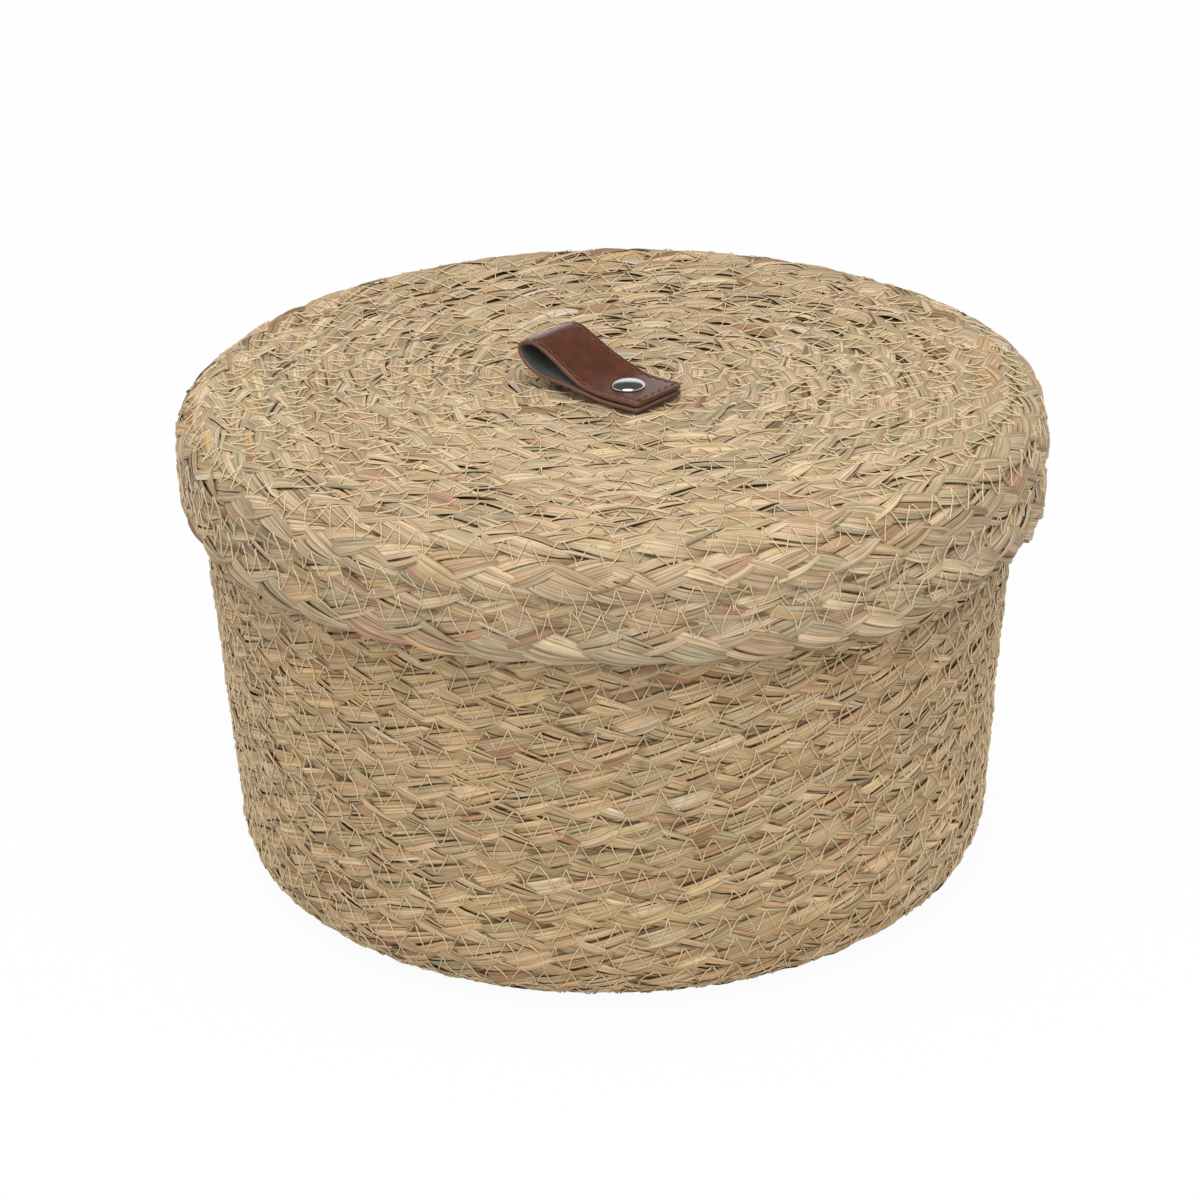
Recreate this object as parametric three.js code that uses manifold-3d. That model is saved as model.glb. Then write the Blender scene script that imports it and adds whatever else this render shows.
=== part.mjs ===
import * as THREE from 'three';
import { mergeVertices } from 'three/addons/utils/BufferGeometryUtils.js';
import Module from 'manifold-3d';

// A round lidded box of coiled grass plait with a riveted leather loop on its lid.
// One long flat plait is wound in a spiral from the middle of the base, up the wall to the rim, and sewn row
// to row. The lid is a second coil, from the middle of its top out over the edge and down its skirt.
// Millimetres, +Z up. The box stands on z = 0 with its axis on Z, and the loop's fold points along -X.

// Plait and coil
const PLAIT_THICK = 5;
const GROOVE = 1.1; // depth of the groove between two rows
const CREST_SHARE = 0.42; // share of the pitch that is the row's flat crest
const EYE_SHARE = 0.15; // the coil starts this share of a pitch from the axis
const STEPS = 24; // facets in one turn of the coil
const END_SHARE = 0.3; // what the sewn-down end keeps of the last row's width
const END_TURN = 0.14; // share of a turn over which the end is drawn down

// Box
const BOX_PITCH = 8.4; // nominal step from one row to the next, along the wall
const BOX_BASE_R = 111; // outside, where the wall leaves the rounded foot
const BOX_TOP_R = 117.5; // outside, under the lid
const FOOT_R = 20; // outside radius of the rounded foot
const UPRIGHT = 31; // height of the upright wall under the lid, above the leaning wall
const RIM_RISE = 1.2; // what the rim gains round its last turn
const BOX_END_DEG = 180; // where the box's coil ends at the rim

// Lid
const LID_PITCH = 9.5; // the lid's plait is sewn with less overlap
const LID_PLAY = 2.5; // room all round between the skirt and the box
const LID_TOP = 147; // top of the closed lid above the floor
const LID_EDGE_R = 13; // outside radius of the rounded edge
const LID_DEPTH = 29.5; // from the top to the skirt's free edge, just past the coil's end
const LID_FALL = 4; // what the free edge drops round its last turn
const LID_END_DEG = 10; // where the lid's coil ends

// Leather loop
const RIVET_X = 15.3; // the rivet stands beside the lid's axis, so that the whole loop is centred
const RIVET_Y = -8.8;
const STRAP_WIDTH = 20.5;
const STRAP_END = 11.3; // from the rivet to the free ends of the strap
const STRAP_CORNER = 1.2;
const SKIN = 0.8;
const LINING = 0.5;
const BEND_X = 6.2; // the strap bends here when the loop is lifted, from the rivet
const LOOP_REACH = 33; // from the rivet to the outside of the fold
const LOOP_TOP = 13.4; // the fold's height above the strap's underside
const LOOP_STEPS = 28;

// Rivet
const CAP_D = 9.6;
const CAP_RIM = 0.5;
const CAP_DOME = 1.7;
const POST_D = 3.4;
const POST_BORE_D = 2.2;
const BACK_D = 9;
const BACK_THICK = 1;
const STEM_GRIP = 3.5; // length of the back's stem inside the post
const RIVET_SIDES = 24;

const CLEARANCE = 0.3; // between pieces that touch

const GRASS = { color: 0xb29a6c, roughness: 0.85, metalness: 0 };
const LEATHER = { color: 0x5b3226, roughness: 0.45, metalness: 0 };
const FELT = { color: 0x3c4043, roughness: 0.95, metalness: 0 };
const CHROME = { color: 0xc8c8ca, roughness: 0.15, metalness: 1 };

const wasm = await Module();
wasm.setup();

const basket = new THREE.Group();

function addPiece(parent, name, geometry, finish) {
  const mesh = new THREE.Mesh(geometry, new THREE.MeshStandardMaterial(finish));
  mesh.name = name;
  parent.add(mesh);
  return mesh;
}

function toSolid(geometry) {
  const bare = geometry.clone();
  bare.deleteAttribute('normal');
  bare.deleteAttribute('uv');
  const merged = mergeVertices(bare, 1e-4);
  const vertProperties = new Float32Array(merged.attributes.position.array);
  const triVerts = new Uint32Array(merged.index.array);
  return new wasm.Manifold(new wasm.Mesh({ numProp: 3, vertProperties, triVerts }));
}

function toGeometry(solid) {
  const mesh = solid.getMesh();
  const geometry = new THREE.BufferGeometry();
  geometry.setAttribute('position', new THREE.BufferAttribute(mesh.vertProperties, 3));
  geometry.setIndex(new THREE.BufferAttribute(mesh.triVerts, 1));
  geometry.computeVertexNormals();
  return geometry;
}

// Coiled walls

// One row of plait seen in section, from its lower edge: the place along the wall in row pitches, and whether
// the point lies in the groove. The outside has a flat crest, the inside a plain ridge.
const OUTSIDE_ROW = [
  { along: 0, sunk: 0 },
  { along: CREST_SHARE, sunk: 0 },
  { along: (CREST_SHARE + 1) / 2, sunk: GROOVE },
];
const INSIDE_ROW = [
  { along: CREST_SHARE / 2, sunk: 0 },
  { along: (CREST_SHARE + 1) / 2, sunk: GROOVE },
];

// A closed shell whose rows climb the meridian in one spiral. The meridian is the middle of the wall in
// (r, z), from the axis outwards to one row past the place where the last turn begins its free edge.
// Vertex (n, k) is point k of the row's section after n steps round; the next row starts at (n + STEPS, 0).
function coiledShell({ meridian, rowPitch, outward, sense, endDeg, rise }) {
  const length = meridian.getLength();
  const edge = length - rowPitch;
  const topAlong = OUTSIDE_ROW.at(-1).along;
  const lastStep = Math.round(STEPS * (edge / rowPitch + 1 - EYE_SHARE - topAlong));
  const pitch = edge / (lastStep / STEPS - 1 + EYE_SHARE + topAlong);
  const endAngle = THREE.MathUtils.degToRad(endDeg);
  const positions = [];
  const triangles = [];

  // Where a section point lies along the meridian. In the last turn the row is drawn down towards the row
  // below it, slowly round the turn and quickly at the sewn-down end.
  function alongWall(n, along) {
    const free = pitch * (n / STEPS + EYE_SHARE + along);
    const round = (n - lastStep) / STEPS + 1;
    if (round <= 0) return free;
    const below = pitch * (n / STEPS - 1 + EYE_SHARE + topAlong);
    const drawn = THREE.MathUtils.smoothstep(round, 1 - END_TURN, 1);
    const width = (1 - (1 - rise / pitch) * round) * (1 - (1 - END_SHARE) * drawn);
    return below + width * (free - below);
  }

  function addVertex(along, offset, angle) {
    const middle = meridian.getPoint(along / length);
    const tangent = meridian.getTangent(along / length);
    const r = middle.x + outward * offset * tangent.y;
    const z = middle.y - outward * offset * tangent.x;
    positions.push(r * Math.cos(angle), r * Math.sin(angle), z);
    return positions.length / 3 - 1;
  }

  // One face of the wall, as a grid of vertex numbers and the fan that closes it at the axis.
  function addFace(row, side) {
    const offset = (point) => side * (PLAIT_THICK / 2 - point.sunk);
    const eye = addVertex(0, offset(row[0]), 0);
    const grid = [];
    for (let n = 0; n <= lastStep; n++) {
      const angle = endAngle + (sense * 2 * Math.PI * (n - lastStep)) / STEPS;
      grid.push(row.map((point) => addVertex(alongWall(n, point.along), offset(point), angle)));
    }
    const flip = side * outward * sense < 0;
    const addTriangle = (a, b, c) => triangles.push(...(flip ? [a, c, b] : [a, b, c]));
    const addQuad = (a, b, c, d) => {
      addTriangle(a, b, c);
      addTriangle(a, c, d);
    };
    const top = row.length - 1;
    for (let n = 0; n < lastStep; n++) {
      for (let k = 0; k < top; k++) {
        addQuad(grid[n][k], grid[n + 1][k], grid[n + 1][k + 1], grid[n][k + 1]);
      }
      if (n + STEPS < lastStep) {
        addQuad(grid[n][top], grid[n + 1][top], grid[n + STEPS + 1][0], grid[n + STEPS][0]);
      }
    }
    for (let n = 0; n < STEPS - 1; n++) addTriangle(eye, grid[n + 1][0], grid[n][0]);
    const seam = [eye, ...grid[0], grid[STEPS][0]];
    for (let i = 0; i < seam.length - 1; i++) addTriangle(grid[STEPS - 1][0], seam[i], seam[i + 1]);
    return { grid, top };
  }

  const outside = addFace(OUTSIDE_ROW, 1);
  const inside = addFace(INSIDE_ROW, -1);
  const flip = outward * sense < 0;
  const addTriangle = (a, b, c) => triangles.push(...(flip ? [a, c, b] : [a, b, c]));

  // The free edge joins the two faces round the last turn, and a small patch closes the plait's end.
  const firstFree = lastStep - STEPS;
  const outEdge = (n) => outside.grid[n][outside.top];
  const inEdge = (n) => inside.grid[n][inside.top];
  for (let n = firstFree; n < lastStep; n++) {
    addTriangle(outEdge(n), outEdge(n + 1), inEdge(n + 1));
    addTriangle(outEdge(n), inEdge(n + 1), inEdge(n));
  }
  const endOut = [...outside.grid[lastStep]].reverse();
  const patch = [...inside.grid[lastStep], ...endOut, outEdge(firstFree), inEdge(firstFree)];
  for (let i = 1; i < patch.length - 1; i++) addTriangle(patch[0], patch[i], patch[i + 1]);

  const geometry = new THREE.BufferGeometry();
  geometry.setAttribute('position', new THREE.Float32BufferAttribute(positions, 3));
  geometry.setIndex(triangles);
  geometry.computeVertexNormals();
  return geometry;
}

const HALF = PLAIT_THICK / 2;

// Lid: flat top, rounded edge, upright skirt that hangs over the box's rim.
const lidR = BOX_TOP_R + LID_PLAY + PLAIT_THICK;
const edgeCentre = new THREE.Vector2(lidR - LID_EDGE_R, LID_TOP - LID_EDGE_R);
const lidMeridian = new THREE.Path();
lidMeridian.moveTo(0, LID_TOP - HALF);
lidMeridian.lineTo(edgeCentre.x, LID_TOP - HALF);
lidMeridian.absarc(edgeCentre.x, edgeCentre.y, LID_EDGE_R - HALF, Math.PI / 2, 0, true);
lidMeridian.lineTo(lidR - HALF, LID_TOP - LID_DEPTH - LID_PITCH);
const lidShell = coiledShell({
  meridian: lidMeridian,
  rowPitch: LID_PITCH,
  outward: -1,
  sense: 1,
  endDeg: LID_END_DEG,
  rise: LID_FALL,
});
const rivetHole = new THREE.CylinderGeometry(
  POST_D / 2 + CLEARANCE,
  POST_D / 2 + CLEARANCE,
  3 * PLAIT_THICK,
  RIVET_SIDES,
);
rivetHole.rotateX(Math.PI / 2);
rivetHole.translate(RIVET_X, RIVET_Y, LID_TOP - HALF);
addPiece(basket, 'lid_coil', toGeometry(toSolid(lidShell).subtract(toSolid(rivetHole))), GRASS);

// Box: flat base, rounded foot, wall that leans out to the knee and stands upright under the lid. Its rim
// stops just under the lid's rounded inner edge.
const rimMiddleR = BOX_TOP_R - HALF;
const rimReach = Math.max(BOX_TOP_R - GROOVE - edgeCentre.x, 0);
const innerEdgeR = LID_EDGE_R - PLAIT_THICK;
const rimHighest = edgeCentre.y + Math.sqrt(innerEdgeR ** 2 - rimReach ** 2) - CLEARANCE;
const rimZ = rimHighest - RIM_RISE;
const kneeZ = rimZ - UPRIGHT;
const footCentre = new THREE.Vector2(BOX_BASE_R - FOOT_R, FOOT_R);
const lean = Math.atan2(BOX_TOP_R - BOX_BASE_R, kneeZ - FOOT_R);
const boxMeridian = new THREE.Path();
boxMeridian.moveTo(0, HALF);
boxMeridian.lineTo(footCentre.x, HALF);
boxMeridian.absarc(footCentre.x, footCentre.y, FOOT_R - HALF, -Math.PI / 2, -lean, false);
boxMeridian.lineTo(rimMiddleR, kneeZ);
boxMeridian.lineTo(rimMiddleR, rimZ + BOX_PITCH);
const boxShell = coiledShell({
  meridian: boxMeridian,
  rowPitch: BOX_PITCH,
  outward: 1,
  sense: -1,
  endDeg: BOX_END_DEG,
  rise: RIM_RISE,
});
addPiece(basket, 'box_coil', boxShell, GRASS);

// Leather loop and rivet, in a frame on the rivet's axis: x runs along the strap to its fold, z = 0 is the
// strap's underside, just above the lid.
const tab = new THREE.Group();
tab.position.set(RIVET_X, RIVET_Y, LID_TOP + CLEARANCE);
tab.rotation.z = Math.PI;
basket.add(tab);

// Riveted end of the strap: two plies of leather, each with its felt lining, lining to lining.
function endPly(thickness) {
  const front = -STRAP_END;
  const back = BEND_X - CLEARANCE / 2;
  const half = STRAP_WIDTH / 2;
  const outline = new THREE.Shape();
  outline.moveTo(back, -half);
  outline.lineTo(back, half);
  outline.lineTo(front + STRAP_CORNER, half);
  outline.absarc(front + STRAP_CORNER, half - STRAP_CORNER, STRAP_CORNER, Math.PI / 2, Math.PI, false);
  outline.absarc(front + STRAP_CORNER, STRAP_CORNER - half, STRAP_CORNER, Math.PI, 1.5 * Math.PI, false);
  outline.closePath();
  const hole = new THREE.Path();
  hole.absarc(0, 0, POST_D / 2 + CLEARANCE, 0, 2 * Math.PI, true);
  outline.holes.push(hole);
  return new THREE.ExtrudeGeometry(outline, { depth: thickness, bevelEnabled: false, curveSegments: 6 });
}

const plies = [
  ['tab_bottom_skin', SKIN, LEATHER],
  ['tab_bottom_lining', LINING, FELT],
  ['tab_top_lining', LINING, FELT],
  ['tab_top_skin', SKIN, LEATHER],
];
let stack = -CLEARANCE;
for (const [name, thickness, finish] of plies) {
  const ply = addPiece(tab, name, endPly(thickness), finish);
  ply.position.z = stack + CLEARANCE;
  stack = ply.position.z + thickness;
}

// Loop: the strap's outer face from the lower ply round the fold and back to the upper ply. The skin and the
// lining are bands of even thickness inside that face.
const loopStart = BEND_X + CLEARANCE / 2;
const loopSpan = LOOP_REACH - loopStart;
const onLoop = (share, z) => new THREE.Vector2(loopStart + share * loopSpan, z);
const loopFace = new THREE.SplineCurve([
  onLoop(0, 0),
  onLoop(0.2, 0.05 * LOOP_TOP),
  onLoop(0.4, 0.12 * LOOP_TOP),
  onLoop(0.6, 0.23 * LOOP_TOP),
  onLoop(0.79, 0.43 * LOOP_TOP),
  onLoop(0.94, 0.63 * LOOP_TOP),
  onLoop(1, 0.81 * LOOP_TOP),
  onLoop(0.92, 0.96 * LOOP_TOP),
  onLoop(0.77, LOOP_TOP),
  onLoop(0.6, 0.95 * LOOP_TOP),
  onLoop(0.38, 0.74 * LOOP_TOP),
  onLoop(0.17, 0.49 * LOOP_TOP),
  onLoop(0.06, stack + SKIN),
  onLoop(0, stack),
]);

function loopBand(outerDepth, innerDepth) {
  const line = (depth) =>
    Array.from({ length: LOOP_STEPS + 1 }, (_, i) => {
      const point = loopFace.getPointAt(i / LOOP_STEPS);
      const tangent = loopFace.getTangentAt(i / LOOP_STEPS);
      return new THREE.Vector2(point.x - depth * tangent.y, point.y + depth * tangent.x);
    });
  const outline = new THREE.Shape([...line(outerDepth), ...line(innerDepth).reverse()]);
  const band = new THREE.ExtrudeGeometry(outline, { depth: STRAP_WIDTH, bevelEnabled: false });
  band.rotateX(Math.PI / 2);
  band.translate(0, STRAP_WIDTH / 2, 0);
  return band;
}

addPiece(tab, 'tab_loop_skin', loopBand(0, SKIN), LEATHER);
addPiece(tab, 'tab_loop_lining', loopBand(SKIN + CLEARANCE, SKIN + CLEARANCE + LINING), FELT);

// Rivet: a domed cap with a hollow post through strap and lid, closed by a back plate whose stem grips the
// post from below.
const capFoot = stack + CLEARANCE;
const lidUnder = -CLEARANCE - PLAIT_THICK;
const backTop = lidUnder - CLEARANCE;
const stemTop = backTop + STEM_GRIP;
const capR = CAP_D / 2;
const domeR = (capR ** 2 + CAP_DOME ** 2) / (2 * CAP_DOME);
const domeTop = capFoot + CAP_RIM + CAP_DOME;
const domeHalf = Math.asin(capR / domeR);
const DOME_RINGS = 4;
const dome = Array.from({ length: DOME_RINGS }, (_, i) => {
  const angle = (domeHalf * (i + 1)) / DOME_RINGS;
  return new THREE.Vector2(domeR * Math.sin(angle), domeTop - domeR * (1 - Math.cos(angle)));
});

function turned(profile) {
  const geometry = new THREE.LatheGeometry(profile, RIVET_SIDES);
  geometry.rotateX(Math.PI / 2);
  return geometry;
}

const capProfile = [
  new THREE.Vector2(0, stemTop + CLEARANCE),
  new THREE.Vector2(POST_BORE_D / 2, stemTop + CLEARANCE),
  new THREE.Vector2(POST_BORE_D / 2, lidUnder),
  new THREE.Vector2(POST_D / 2, lidUnder),
  new THREE.Vector2(POST_D / 2, capFoot),
  new THREE.Vector2(capR, capFoot),
  ...dome.reverse(),
  new THREE.Vector2(0, domeTop),
];
addPiece(tab, 'rivet_cap', turned(capProfile), CHROME);

const stemR = POST_BORE_D / 2 - CLEARANCE;
const backProfile = [
  new THREE.Vector2(0, backTop - BACK_THICK),
  new THREE.Vector2(BACK_D / 2, backTop - BACK_THICK),
  new THREE.Vector2(BACK_D / 2, backTop),
  new THREE.Vector2(stemR, backTop),
  new THREE.Vector2(stemR, stemTop),
  new THREE.Vector2(0, stemTop),
];
addPiece(tab, 'rivet_back', turned(backProfile), CHROME);

export default basket;
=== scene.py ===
import math

import bpy
import numpy as np
from mathutils import Matrix


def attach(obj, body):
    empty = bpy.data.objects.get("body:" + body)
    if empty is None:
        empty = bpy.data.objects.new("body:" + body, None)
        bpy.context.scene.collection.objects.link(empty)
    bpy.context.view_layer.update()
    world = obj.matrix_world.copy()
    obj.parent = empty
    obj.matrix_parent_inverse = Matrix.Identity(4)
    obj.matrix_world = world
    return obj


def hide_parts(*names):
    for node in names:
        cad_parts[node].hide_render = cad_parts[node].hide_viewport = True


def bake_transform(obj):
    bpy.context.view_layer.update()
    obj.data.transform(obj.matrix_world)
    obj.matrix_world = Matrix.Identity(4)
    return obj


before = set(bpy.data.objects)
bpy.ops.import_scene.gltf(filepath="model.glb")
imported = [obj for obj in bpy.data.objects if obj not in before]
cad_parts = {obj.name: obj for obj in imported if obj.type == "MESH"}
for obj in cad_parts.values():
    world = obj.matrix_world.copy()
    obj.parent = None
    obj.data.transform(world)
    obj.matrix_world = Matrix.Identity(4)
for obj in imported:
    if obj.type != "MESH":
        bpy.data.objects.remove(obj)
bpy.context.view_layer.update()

# Box: one long flat plait of three strands of dry grass, wound in a spiral from the middle of the base,
# round the foot and up to the rim, where its end is drawn down to the row below. Each strand is a bundle of
# flat blades, and a blade that runs out is followed by another, of its own colour.
MM = 0.001
PLAIT_THICK = 5.0
PLAIT_MAX_WIDTH = 16.0
ROW_OVERLAP = 1.42  # the plait's width, in widths of what shows of a row
STRAND_SHARE = 0.57  # a strand's width as a share of the plait's
SWING_SHARE = 0.285  # how far a strand swings to either side, as a share of the plait's width
SWING_POINT = 0.09  # how pointed the swing is at its turns
STRAND_THICK = 1.7
STRAND_LIFT = 0.82  # how far a strand rises and dips as it crosses the others
STRAND_PROUD = 0.75  # how far the strands lie outside the middle of the plait's thickness
STRAND_SKEW = 0.2  # how far the way on top of the plait is drawn out against the way back underneath
STRAND_BANK = 0.5  # radians by which a strand leans outwards where it turns at the plait's edge
STRAND_CURVE = 0.6  # how far the strand's back falls from its middle to its edges, in half thicknesses
OUTER_BLADES = 5
INNER_BLADES = 3
INNER_OVERLAP = 1.35  # a blade's width against its share of the strand, on the plait's inner side
BOX_OVERLAP = 1.16  # the same on the box's outer side
BLADE_MAX_HALF = 2.6
BLADE_BACK = 0.26  # how far a blade bulges above its edges on the side that shows
BLADE_BELLY = 0.14  # the same on the side that lies on the strand
BLADE_STEP = 3.4  # from one ring of a blade's mesh to the next, along the plait
BARE_STEP = 2.4  # the same where the rows lie bare
NEW_BLADE_CHANCE = 0.4
SHARED_TONE = 0.6  # share of a bundle's blades that have the bundle's colour
AXIS_GAP = 0.3  # blades and threads stay this far from the coil's middle
GROUND_GAP = 0.02  # and this far above the ground
WARP_FULL_R = 110.0  # radius from which a face's lift and swell have their full size
BOX_HUE = np.array([1.0, 0.93, 0.86])  # the box's grass is a shade yellower than the lid's
BOX_PITCH = 8.4
BOX_TILT = 0.1  # each row lies over the edge of the next, as slates do
BOX_PERIOD = 44.0  # length of plait in which a strand goes from edge to edge and back
BOX_BASE_R = 91.0  # flat part of the base
BOX_FOOT_R = 20.0
BOX_KNEE = (117.5, 108.0)  # radius and height where the wall stands upright
BOX_RIM_Z = 139.0
BOX_RIM_RISE = 1.2
BOX_END_ANGLE = math.pi
BOX_LENGTHS = ("box_base_plait", "box_foot_plait", "box_low_wall_plait", "box_mid_wall_plait",
               "box_high_wall_plait", "box_rim_plait")


def srgb(red, green, blue):
    """A colour as it looks on a screen, 0 to 255, in the linear light that a shader takes."""
    share = np.array([red, green, blue]) / 255
    return np.where(share <= 0.04045, share / 12.92, ((share + 0.055) / 1.055) ** 2.4)


# What each sort of blade looks like, and how common it is.
GRASS_COLOURS = (
    (srgb(206, 183, 146), 0.4),  # straw
    (srgb(220, 199, 163), 0.24),  # pale straw
    (srgb(191, 176, 142), 0.17),  # greenish grey
    (srgb(194, 168, 131), 0.12),  # tan
    (srgb(167, 136, 102), 0.032),  # brown
    (srgb(190, 155, 124), 0.014),  # reddish
    (srgb(208, 178, 131), 0.012),  # golden
    (srgb(222, 208, 184), 0.012),  # bleached
)
SHADED_CORE_COLOUR = srgb(150, 124, 90)  # painted shade: blades in the plait's crushed middle, seen only through gaps, are coloured darker than the grass as if in shade


def section_line(corners, outward, lifted=(0.0, 0.0), swollen=(0.0, 0.0)):
    """The outer face seen in section, from (r, z) points close together: the length along it, the radius,
    the height and the outward normal, which is the tangent turned a quarter to the outward side. lifted is
    how far the face has risen and towards which angle; it falls to nothing at the axis and on the opposite
    side. swollen is how far the face stands further out, and towards which angle; it draws in on the
    opposite side."""
    r, z = np.array(corners, float).T
    length = np.concatenate([[0], np.cumsum(np.hypot(np.diff(r), np.diff(z)))])
    dr, dz = np.gradient(r, length), np.gradient(z, length)
    size = np.hypot(dr, dz)
    return length, r, z, outward * dz / size, -outward * dr / size, lifted, swollen


def on_face(face, along, out, angle):
    """Points at a length along the section line, a height out of the face and an angle round the axis."""
    length, r, z, out_r, out_z, (lift, lift_angle), (swell, swell_angle) = face
    radius = np.interp(along, length, r) + out * np.interp(along, length, out_r)
    height = np.interp(along, length, z) + out * np.interp(along, length, out_z)
    rim = np.minimum(radius / WARP_FULL_R, 1) ** 2
    height = height + lift * (0.5 + 0.5 * np.cos(angle - lift_angle)) ** 0.9 * rim
    radius = radius + swell * np.cos(angle - swell_angle) * rim
    return np.stack([radius * np.cos(angle), radius * np.sin(angle), height], -1)


def coil_course(face, edge_turns, edge_along, end_angle, sense, start, fine_turns=0):
    """The plait's course: the turn, counted back from its end at 0, the angle, the middle of the row along
    the section, the width that shows and the radius. A row lies between its own edge and the edge that it
    had one turn earlier. Lengths count from start, one turn after the plait's tip at the axis. In the first
    turns they grow as squares, so that the steps shrink with the radius; after that they are even, and
    shorter in the last fine_turns, where the rows lie bare."""
    step = 0.002  # of a turn
    turn = np.arange(start - 1, 0, step)
    smooth = np.hanning(21) / np.hanning(21).sum()
    far = np.arange(start - 2.1, 0.2, step)
    edge = np.convolve(np.interp(far, edge_turns, edge_along), smooth, "same")
    upper, lower = np.interp(turn, far, edge), np.interp(turn - 1, far, edge)
    middle, width = (upper + lower) / 2, upper - lower
    radius = np.maximum(np.interp(middle, face[0], face[1]), 1)
    length = np.concatenate([[0], np.cumsum(2 * np.pi * radius[:-1] * step)])
    length = length - np.interp(start, turn, length)
    even = 20 * BLADE_STEP
    tight = length[0] + np.linspace(0, math.sqrt(even - length[0]), 50)[:-1] ** 2
    bare = np.interp(-fine_turns, turn, length)
    x = np.concatenate([tight, np.arange(even, bare, BLADE_STEP), np.arange(bare, length[-1], BARE_STEP)])
    turn, middle, width, radius = (np.interp(x, length, v) for v in (turn, middle, width, radius))
    return dict(x=x, turn=turn, angle=end_angle + sense * 2 * np.pi * turn, middle=middle, width=width,
                radius=radius, sense=sense)


def drift(rng, rows, x, step):
    """Smooth random wandering from -1 to 1 along x: a random value every step, joined by smoothsteps."""
    values = rng.uniform(-1, 1, (rows, int(x.max() / step) + 3))
    place = x / step
    first = np.floor(place).astype(int)
    blend = place - first
    blend = blend * blend * (3 - 2 * blend)
    return values[:, first] * (1 - blend) + values[:, first + 1] * blend


def lay_strands(course, period, lay, rng):
    """The three strands of a flat plait, a third of a period apart. A strand swings from edge to edge as a
    slightly pointed cosine, and rises and dips twice in each period; its way on top is longer than its way
    back underneath. lay is +1 where the strand on top runs from the edge to the middle, and -1 where it runs
    from the middle to the edge. The plait is narrow at its tip on the axis and tapers off at its end."""
    x = course["x"]
    to_end = -course["turn"]
    stray = 0.045 * drift(rng, 3, x, 60)
    even = 2 * np.pi * (x / period + np.arange(3)[:, None] / 3 + stray)
    phase = even + lay * STRAND_SKEW * np.cos(2 * even)
    haste = 1 - 2 * lay * STRAND_SKEW * np.sin(2 * even)
    least = 4.5 + 7.5 * np.clip(to_end / 0.12, 0, 1)
    tip = np.clip(course["middle"] / 7, 0.12, 1)
    taper = np.clip(to_end / 0.06, 0.25, 1)
    plait_width = np.clip(ROW_OVERLAP * course["width"], least, PLAIT_MAX_WIDTH) * tip * taper
    course["core"] = 0.4 * plait_width
    swing = SWING_SHARE * plait_width * (1 + 0.08 * drift(rng, 3, x, 40))
    # A row that is covered by the next lies deeper.
    sunk = 0.25 * np.clip(9 - course["width"], 0, 3) + 0.25 * (1 + drift(rng, 1, x, 90)[0])
    course["phase"], course["lay"] = phase, lay
    turning = np.abs(np.cos(phase))
    course["half"] = STRAND_SHARE * plait_width / 2 * (1.06 - 0.34 * turning**6)
    sway = (np.cos(phase) + SWING_POINT * np.cos(3 * phase)) / (1 + SWING_POINT)
    course["lateral"] = -swing * sway + 0.4 * drift(rng, 1, x, 110)
    climb = haste * (np.sin(phase) + 3 * SWING_POINT * np.sin(3 * phase)) / (1 + SWING_POINT)
    course["slope"] = np.arctan(swing * 2 * np.pi / period * climb)
    course["bank"] = STRAND_BANK * np.cos(phase) * turning**2
    fold = 0.55 * course["half"] * np.abs(np.sin(course["bank"]))
    course["lift"] = lay * STRAND_LIFT * np.sin(2 * phase) - fold - sunk - PLAIT_THICK / 2 + STRAND_PROUD
    return course


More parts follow.
